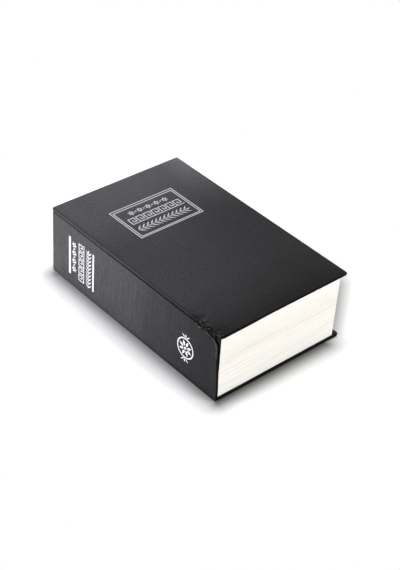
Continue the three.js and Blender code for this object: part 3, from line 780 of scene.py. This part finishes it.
def front_core():
    """The front board, held back from the crease."""
    low, high = node_box("front_cover_board")
    setback = 1.5
    middle = (low.x + setback + high.x) / 2
    thickness = high.z - low.z
    stations = [
        *((inset, 0.0) for inset in (12.0, 8.0, 5.0, 3.0, 1.5, 0.25)),
        *rounding(0.25, 0.25, 0.25, 200, 180, 1),
        *rounding(0.25, thickness - 0.25, 0.25, 180, 90, 2),
        (3.0, thickness),
    ]

    def place(u, v, w):
        return middle + u, v, high.z - w - 0.02 - (dent(middle + u, v) if w < 0.4 else 0.0)

    stops = (even(8), even(12), even(8), even(60))
    sections = skin(stations, (high.x - middle, high.y), (1.0,) * 4, stops, place)
    loft("front_core", sections, GREYBOARD, FRONT, "greyboard", replaced=("front_cover_board",))


ENDPAPER_MARGIN = 4.5
ENDPAPER_DIP = 0.27
ENDPAPER_THICK = 0.11


def endpaper(name, node, body, outer, up):
    """A sheet pasted over the turn-ins, which shows their step as it dips into the window."""
    low, high = node_box(node)
    middle = (high.x + low.x) / 2
    step = TURN_IN - ENDPAPER_MARGIN
    half = [(high[axis] - low[axis]) / 2 + step for axis in (0, 1)]
    rings = [
        (30.0, ENDPAPER_DIP), (step + 2.4, ENDPAPER_DIP), (step + 1.2, ENDPAPER_DIP * 0.75),
        (step + 0.3, ENDPAPER_DIP * 0.2), (step - 0.5, 0.0), (step / 2, 0.0), (0.0, 0.0),
    ]
    stations = [(inset, depth + ENDPAPER_THICK) for inset, depth in rings] + rings[::-1]

    def place(u, v, w):
        return middle + u, v, outer + up * (ENDPAPER_THICK - w + 0.03)

    sections = skin(stations, half, (1.2,) * 4, (even(10), even(14)) * 2, place)
    loft(name, sections, PAPER, body, "endpaper", replaced=(node,))


def back_joint_groove():
    """The fixed fold between the spine and the back cover, pressed up into a shallow groove."""
    low, high = node_box("back_joint")
    sections = []
    reach = HEAD_Y - 0.35
    ends = [reach, reach - 0.12, reach - 0.9, reach - 1.1]
    for y in [-e for e in ends] + spread(-ends[-1] + 2.0, ends[-1] - 2.0, 61) + ends[::-1]:
        rise = 0.32 + 0.05 * wave_at(y * 0.09, 1.0, 0.0)
        fold = 1.55 if abs(y) > ends[-1] + 0.1 else 0.0
        outline = [(low.x + (high.x - low.x) * t, rise * sin(pi * t)) for t in spread(0, 1, 7)]
        upper = [(x, z + 0.3 + fold) for x, z in reversed(outline)]
        sections.append([(x, y, z) for x, z in outline + upper])
    loft("back_joint_groove", sections, LEATHER, CASE, "leatherette", replaced=("back_joint",))


def spine_shade_sheet():
    """A black sheet between the spine and the page block: painted shade for the gap there."""
    end_y, notch_y = page_high.y - 0.05, 80.0
    low_z, wall_z, top_z = page_low.z + 0.1, 47.1, page_high.z - 0.05
    side = [(end_y, low_z), (end_y, top_z), (notch_y, top_z), (notch_y, wall_z)]
    outline = side + [(-y, z) for y, z in reversed(side)]
    sections = [[(x, y, z) for y, z in outline] for x in (spine_high.x + 0.012, page_low.x - 0.012)]
    loft("spine_shade_sheet", sections, SHADE_SHEET, CASE, "leatherette")


# Page block

PAGE_LAYERS = 96
PAGE_CORNER = 0.8
PAGE_BACK = 0.008
PAGE_SEED = 7


def page_path():
    """Places and outward directions along the tail, fore-edge and head faces."""
    start, end, run = page_low.x + 0.1, page_high.x - PAGE_CORNER, page_high.y - PAGE_CORNER
    path = [(Vector((x, page_low.y)), Vector((0, -1))) for x in spread(start, end, 26)]
    for side, turn in ((-1, -90), (1, 0)):
        centre = Vector((end, side * run))
        for a in map(radians, spread(turn + 15, turn + 75, 5)):
            out = Vector((cos(a), sin(a)))
            path.append((centre + out * PAGE_CORNER, out))
        if side < 0:
            path += [(Vector((page_high.x, y)), Vector((1, 0))) for y in spread(-run, run, 40)]
    return path + [(Vector((x, page_high.y)), Vector((0, 1))) for x in spread(end, start, 26)]


def page_edges():
    """Layers of pages as fine steps around three sides, closed by a flat back."""
    chance = random.Random(PAGE_SEED)
    low, high = page_low.z + 0.02, page_high.z - 0.02
    pitch = (high - low) / PAGE_LAYERS
    rows = [(low, 0.05, 0)]
    for layer in range(PAGE_LAYERS):
        base = low + layer * pitch
        proud = 0.15 + 0.07 * chance.random() + (0.05 if chance.random() < 0.12 else 0.0)
        rows += [(base + 0.16 * pitch, proud, layer), (base + 0.84 * pitch, proud, layer)]
        rows.append((base + pitch, 0.06 if layer < PAGE_LAYERS - 1 else 0.05, layer))
    sections = []
    for spot, out in page_path():
        reaches = []
        for z, proud, layer in rows:
            sway = 0.05 * wave_at(spot.x * 0.02 + layer * 0.9, spot.y * 0.02, layer * 1.7)
            reaches.append((proud + sway * (proud > 0.1), z))
        reaches += [(PAGE_BACK, high), (PAGE_BACK, low)]
        sections.append([(spot.x + out.x * reach, spot.y + out.y * reach, z) for reach, z in reaches])
    loft("page_edges", sections, PAGES, CASE, "pages", sharp=60.0)


front_covering()
corner_fold()
front_core()
spine_covering()
crease_ruffle()
back_covering()
back_joint_groove()
spine_shade_sheet()
endpaper("front_endpaper", "front_cover_endpaper", FRONT, TOP_Z - BOARD, -1)
endpaper("back_endpaper", "back_cover_endpaper", CASE, BOARD, 1)
page_edges()


# Carried-over solids


def smooth_by_angle(limit):
    """A modifier's node group that shades faces smooth and keeps edges over limit degrees sharp."""
    group = bpy.data.node_groups.new("shade_by_angle", "GeometryNodeTree")
    for direction in ("INPUT", "OUTPUT"):
        group.interface.new_socket("Geometry", in_out=direction, socket_type="NodeSocketGeometry")
    start, faces, edges, angle, compare, end = (group.nodes.new(kind) for kind in (
        "NodeGroupInput", "GeometryNodeSetShadeSmooth", "GeometryNodeSetShadeSmooth",
        "GeometryNodeInputMeshEdgeAngle", "FunctionNodeCompare", "NodeGroupOutput",
    ))
    edges.domain = "EDGE"
    compare.operation = "LESS_THAN"
    compare.inputs[1].default_value = radians(limit)
    for source, target in (
        (start.outputs[0], faces.inputs[0]), (faces.outputs[0], edges.inputs[0]),
        (angle.outputs["Unsigned Angle"], compare.inputs[0]),
        (compare.outputs["Result"], edges.inputs["Shade Smooth"]), (edges.outputs[0], end.inputs[0]),
    ):
        group.links.new(source, target)
    return group


SMOOTHING = smooth_by_angle(30.0)
EDGE_ANGLE = 40.0


def finish_node(name, material, bevel):
    """Gives a CAD node its material, and edges rounded by bevel millimetres."""
    node = bpy.data.objects[name]
    node.data.materials.clear()
    node.data.materials.append(material)
    if bevel:
        cut = node.modifiers.new("rounded edges", "BEVEL")
        cut.width = bevel * MM
        cut.segments = 2
        cut.angle_limit = radians(EDGE_ANGLE)
    node.modifiers.new("shading", "NODES").node_group = SMOOTHING


# The CAD nodes that are shown as they are, by material, with the rounding of their edges
NODE_FINISHES = {
    BLOCK: {"page_block": 0.25},
    POWDER: {"box_tray": 0.3, "box_lid": 0.3},
    GREYBOARD: {"back_cover_board": 0.0},
    ZINC: {
        "hinge_tray_leaf": 0.15, "hinge_lid_leaf": 0.15, "hinge_pin": 0.2, "lock_nut": 0.25, "lock_cam": 0.2,
        "cam_washer": 0.1, "cam_screw": 0.15, "lock_strike": 0.2,
    },
    CHROME: {"lock_housing": 0.15, "lock_plug": 0.1},
    BRASS: {f"lock_wafer_{number}": 0.06 for number in range(1, 5)},
}
for number in range(1, 5):
    NODE_FINISHES[ZINC] |= {f"lid_rivet_{number}": 0.1, f"tray_rivet_{number}": 0.1}

for material, nodes in NODE_FINISHES.items():
    for node_name, bevel in nodes.items():
        finish_node(node_name, material, bevel)


# Foil ornaments: a double-ruled panel on the cover, and bars, borders and a rosette on the spine

FOIL_SINK, FOIL_PROUD = 0.03, 0.06


def stroke(points, width, closed=False):
    """A flat line of one width along a path, as one polygon per stretch joined by shared corners."""
    points = [Vector(point) for point in points]
    count = len(points)
    runs = [(points[(i + 1) % count] - points[i]).normalized() for i in range(count if closed else count - 1)]
    sides = []
    for i, point in enumerate(points):
        before = runs[i - 1 if i or closed else 0]
        after = runs[min(i, len(runs) - 1)]
        along = (before + after).normalized()
        across = Vector((-along.y, along.x)) * (width / 2 / max(along.dot(after), 0.5))
        sides.append((point + across, point - across))
    ends = [(*sides[i], *sides[(i + 1) % count]) for i in range(len(runs))]
    return [(left, next_left, next_right, right) for left, right, next_left, next_right in ends]


def around(centre, radius, count):
    """Points evenly spaced on a whole circle."""
    return arc(centre, radius, spread(0, 2 * pi, count + 1)[:-1])


# Outline of a leaf: share of the way to its tip, and share of its belly to the left
LEAF = ((0.0, 0.0), (0.2, 0.75), (0.45, 1.0), (0.7, 0.6), (1.0, 0.0), (0.7, -0.6), (0.45, -1.0), (0.2, -0.75))


def leaf(start, end, belly):
    """A pointed leaf between two points."""
    start, along = Vector(start), Vector(end) - Vector(start)
    across = Vector((-along.y, along.x)).normalized() * belly
    return [[start + along * t + across * swell for t, swell in LEAF]]


def petals(centre, inner, outer, belly, count, turn):
    """Leaves that point outward from a centre."""
    shapes = []
    for k in range(count):
        a = turn + 2 * pi * k / count
        out = Vector((cos(a), sin(a)))
        shapes += leaf(Vector(centre) + out * inner, Vector(centre) + out * outer, belly)
    return shapes


def border_of_flowers(start, end, low, high):
    """Six-leaved flowers with a dot between each two."""
    height, middle = high - low, (high + low) / 2
    count = round((end - start) / (height * 1.35))
    pitch = (end - start) / count
    shapes = []
    for i in range(count):
        centre = (start + (i + 0.5) * pitch, middle)
        shapes += petals(centre, height * 0.08, height * 0.5, height * 0.1, 6, pi / 6)
        if i:
            shapes.append(around((start + i * pitch, middle), height * 0.13, 8))
    return shapes


def border_of_keys(start, end, low, high, width):
    """A running key pattern on a base line."""
    base, top = low + width / 2, high - width / 2
    height = top - base
    count = round((end - start) / ((high - low) * 0.95))
    pitch = (end - start) / count
    shapes = stroke([(start, base), (end, base)], width)
    for i in range(count):
        x = start + i * pitch + width / 2
        hook = [(0, 0.1), (0, 1), (0.74, 1), (0.74, 0.34), (0.36, 0.34), (0.36, 0.68)]
        shapes += stroke([(x + a * pitch, base + b * height) for a, b in hook], width)
    return shapes


def border_of_leaves(start, end, low, high, width):
    """A branch with paired leaves that lean towards its tip."""
    height, middle = high - low, (high + low) / 2
    count = round((end - start) / (height * 0.5))
    pitch = (end - start) / (count + 0.6)
    shapes = stroke([(start, middle), (end - pitch, middle)], width * 0.6)
    for i in range(count):
        x = start + i * pitch
        for side in (-1, 1):
            tip = (x + pitch * 1.25, middle + side * height * 0.5)
            shapes += leaf((x + pitch * 0.15, middle + side * width * 0.45), tip, width * 0.72)
    shapes += leaf((end - pitch, middle), (end, middle), width * 0.7)
    return shapes


def rosette(x0, y0, x1, y1, width):
    """Eight leaves in a ring, with a bud above and one below."""
    centre = ((x0 + x1) / 2, (y0 + y1) / 2)
    radius = (x1 - x0) / 2 * 0.86
    shapes = stroke(around(centre, radius, 32), width, closed=True)
    shapes += petals(centre, radius * 0.24, radius * 0.86, radius * 0.13, 8, pi / 8)
    shapes.append(around(centre, radius * 0.14, 10))
    for side, end in ((-1, y0), (1, y1)):
        root = (centre[0], centre[1] + side * (radius + width * 0.9))
        shapes += leaf(root, (centre[0], end), width * 0.62)
        for lean_x in (-1, 1):
            tip = (centre[0] + lean_x * radius * 0.5, end - side * (y1 - y0) * 0.03)
            shapes += leaf((root[0] + lean_x * width * 0.8, root[1]), tip, width * 0.5)
    return shapes


RULE, RULE_GAP = 0.75, 0.9


def on_cover(a, b, height):
    return a, b, TOP_Z - FACE_DROP + height


def on_spine(a, b, height):
    """a runs up the spine and b towards the head."""
    return SPINE_X + FACE_DROP - height, b, a


def foils(where, place, body, material, **rows):
    """Rows of flat polygons as thin foil. place(a, b, height) gives a point."""
    for row, shapes in rows.items():
        vertices, faces = [], []
        for shape in shapes:
            faces += tube(len(vertices), len(shape), 2)
            for height in (-FOIL_SINK, FOIL_PROUD):
                vertices += [place(*point, height) for point in shape]
        make(f"{where}_foil_{row}", vertices, faces, material, body, sharp=20.0)


def double_rule(x0, y0, x1, y1):
    """Two lines around a panel, of which the inner one sits a little low as in the photo."""
    shapes = []
    for inset, low, high in ((RULE / 2, 0.0, 0.0), (RULE * 1.5 + RULE_GAP, 0.3, 0.5)):
        left, right, foot, top = x0 + inset, x1 - inset, y0 + inset - low, y1 - inset - high
        shapes += stroke([(left, foot), (right, foot), (right, top), (left, top)], RULE, closed=True)
    return shapes


foils(
    "cover", on_cover, FRONT, COVER_FOIL_SHADED,
    frame=double_rule(-30.5, 23.1, 26.4, 60.1),
    flowers=border_of_flowers(-21.0, 17.0, 48.5, 54.1),
    keys=border_of_keys(-24.9, 22.3, 39.1, 46.3, 0.78),
    leaves=border_of_leaves(-25.7, 21.4, 28.4, 36.4, 0.8),
)
foils(
    "spine", on_spine, CASE, FOIL,
    bars=stroke([(9.5, 69.2), (41.7, 69.2)], 2.3) + stroke([(9.1, 42.1), (41.2, 42.1)], 1.7),
    flowers=border_of_flowers(12.5, 40.3, 61.2, 67.0),
    keys=border_of_keys(9.6, 42.5, 52.5, 58.9, 0.72),
    leaves=border_of_leaves(9.0, 42.1, 44.2, 50.6, 0.72),
)
foils(
    "spine", lambda a, b, height: on_spine(b, a, height), CASE, FOIL,
    rosette=rosette(-66.6, 12.6, -48.6, 36.0, 0.95),
)


# Studio


def area_light(name, place, aim, size, power, colour=(1, 1, 1)):
    data = bpy.data.lights.new(name, "AREA")
    data.energy = power
    data.color = colour
    data.shape = "RECTANGLE"
    data.size, data.size_y = size
    back = Vector(place) - Vector(aim)
    turn = back.to_track_quat("Z", "Y").to_matrix().to_4x4()
    add_object(name, data).matrix_world = Matrix.Translation(place) @ turn


AMBIENT = 0.42
CEILING, CEILING_FROM_TO = 0.3, (0.05, 0.25)


def seen_rays(s):
    """1 for the rays that show the background: from the camera, in reflections and through glass."""
    path = s.node("LightPath").outputs
    mirrored = s.math("MAXIMUM", path["Is Glossy Ray"], path["Is Transmission Ray"])
    return s.math("MAXIMUM", path["Is Camera Ray"], mirrored)


def studio_world():
    """White to the camera, grey above in reflections, and a weak even light for everything else."""
    s = Nodes(bpy.data.worlds.new("studio"))
    bpy.context.scene.world = s.owner
    up = s.split(s.coordinates("Generated"))[2]
    ceiling = s.span(up, 1.0, CEILING, *CEILING_FROM_TO)
    shown = s.math("MAXIMUM", s.node("LightPath").outputs["Is Camera Ray"], ceiling)
    background = s.tree.nodes["Background"].inputs
    s.fill(background["Strength"], s.span(seen_rays(s), AMBIENT, shown))
    s.fill(background["Color"], 1.0)


FLOOR_HALF = 4.0
FLOOR_DROP = 0.05
FLOOR_TONE = (0.862, 0.86, 0.848)
FLOOR_LIFT = 0.45
FLOOR_MIRRORED = 0.7
# The floor turns plain white over these distances from the book's middle, which are shorter across the book
PLAIN_FROM_TO = (120.0, 240.0)
PLAIN_SQUEEZE = (1.25, 1.0, 1.0)
SHADE_REACH = 24.0
# (distance from the foot as a share of the reach, level), beside the spine and before the tail
SHADE_BESIDE = [(0.0, 0.24), (0.17, 0.47), (0.33, 0.655), (0.54, 0.78), (0.83, 0.98), (1.0, 1.0)]
SHADE_BEFORE = [(0.0, 0.09), (0.125, 0.21), (0.25, 0.418), (0.42, 0.67), (0.6, 0.88), (0.8, 0.98)]
SHADE_MIDDLE = (-6.75, -4.0, 0.0)
SHADE_HALF = (50.75, 86.0, 1000.0)
# Under any part of the book: (openness of the floor, level)
SHADE_UNDER = [(0.5, 0.25), (0.7, 0.72), (0.86, 1.0)]
# Shadow cast past the fore-edge: level across its slanting end, strength across its width at the tail and at
# the head, where along the book the one goes over into the other, and where the shadow starts and fades
CAST_SLANT = 1.26
CAST_FROM_TO, CAST_WIDTH = (160.0, 180.0), 65.0
CAST_END = [(0.0, 0.37), (0.22, 0.44), (0.75, 0.82), (0.95, 1.0)]
CAST_TAIL = [(0.0, 1.0), (0.73, 1.0), (0.8, 0.8), (0.87, 0.3), (0.97, 0.0)]
CAST_HEAD = [(0.0, 1.0), (0.55, 0.95), (0.67, 0.75), (0.77, 0.45), (0.87, 0.33), (1.0, 0.0)]
CAST_TURN, CAST_START, CAST_FADE = (-52.0, -38.0), (55.0, 58.0), (-30.0, 120.0)


def contact_shade(s, place):
    """The soft shade around the foot of the book, and under any part of it."""
    beyond = s.vector("ABSOLUTE", s.vector("SUBTRACT", place, SHADE_MIDDLE))
    beyond = s.vector("MAXIMUM", s.vector("SUBTRACT", beyond, SHADE_HALF))
    across, along, _ = s.split(beyond)
    beside = s.math("DIVIDE", across, s.math("ADD", s.math("ADD", across, along), 0.001))
    share = s.rise(s.vector("LENGTH", beyond), 0.0, SHADE_REACH)
    outside = s.mix(beside, s.ramp(share, SHADE_BEFORE), s.ramp(share, SHADE_BESIDE))
    return s.math("MINIMUM", outside, s.ramp(s.hollows(SHADE_REACH, 8), SHADE_UNDER))


def cast_shade(s, place):
    """The shadow past the fore-edge, which ends in a slanting line."""
    across, along, _ = s.split(place)
    slant = s.math("SUBTRACT", across, s.times(along, CAST_SLANT))
    end = s.ramp(s.rise(slant, *CAST_FROM_TO), CAST_END)
    width = s.rise(across, back_high.x, back_high.x + CAST_WIDTH)
    cast = s.mix(s.rise(along, *CAST_TURN), s.ramp(width, CAST_TAIL), s.ramp(width, CAST_HEAD))
    return s.rest(s.times(cast, s.rise(across, *CAST_START), s.fall(along, *CAST_FADE), s.rest(end)))


def floor_finish():
    s = material_nodes("floor_white")
    place = s.place()
    shade = s.math("MINIMUM", contact_shade(s, place), cast_shade(s, place))
    seen = seen_rays(s)

    def both(first, second):
        return s.node("AddShader", {0: first, 1: second}).outputs[0]

    def emission(strength, colour=1.0):
        return s.node("Emission", {"Color": colour, "Strength": strength}).outputs[0]

    lit = s.node("BsdfDiffuse", {"Color": s.mix(1.0, shade, FLOOR_TONE, "MULTIPLY")}).outputs[0]
    in_mirrors = s.times(s.rest(shade), s.node("LightPath").outputs["Is Glossy Ray"], FLOOR_MIRRORED)
    near = both(lit, both(emission(s.times(seen, FLOOR_LIFT), shade), emission(in_mirrors)))
    squeezed = s.node("Mapping", {"Vector": place, "Scale": PLAIN_SQUEEZE}).outputs[0]
    away = s.rise(s.vector("LENGTH", squeezed), *PLAIN_FROM_TO)
    blend = s.node("MixShader", {0: s.times(away, seen), 1: near, 2: emission(seen)})
    s.fill(s.tree.nodes["Material Output"].inputs["Surface"], blend.outputs[0])
    s.tree.nodes.remove(s.tree.nodes["Principled BSDF"])
    return s.owner


def floor():
    """A white sweep that keeps the object's shadow and is plain white further out."""
    mesh = bpy.data.meshes.new("floor")
    mesh.from_pydata([(FLOOR_HALF * u, FLOOR_HALF * v, 0) for u, v in CORNERS], [], [(0, 1, 2, 3)])
    mesh.materials.append(floor_finish())
    piece = add_object("floor", mesh)
    piece.location.z = -FLOOR_DROP * MM


floor()
studio_world()
area_light("page_light", (0.45, -1.2, 0.5), (0, 0, 0.03), (0.9, 0.9), 11.6)
area_light("head_light", (0.145, 0.29, 0.23), (0.0, 0.11, 0.055), (0.2, 0.1), 0.28, (0.86, 0.88, 1.0))
area_light("spine_light", (-0.42, 0.13, 0.12), (-0.05, 0.03, 0.02), (0.3, 0.2), 2.35, (0.91, 0.9, 1.0))

bpy.context.scene.view_settings.view_transform = "Standard"
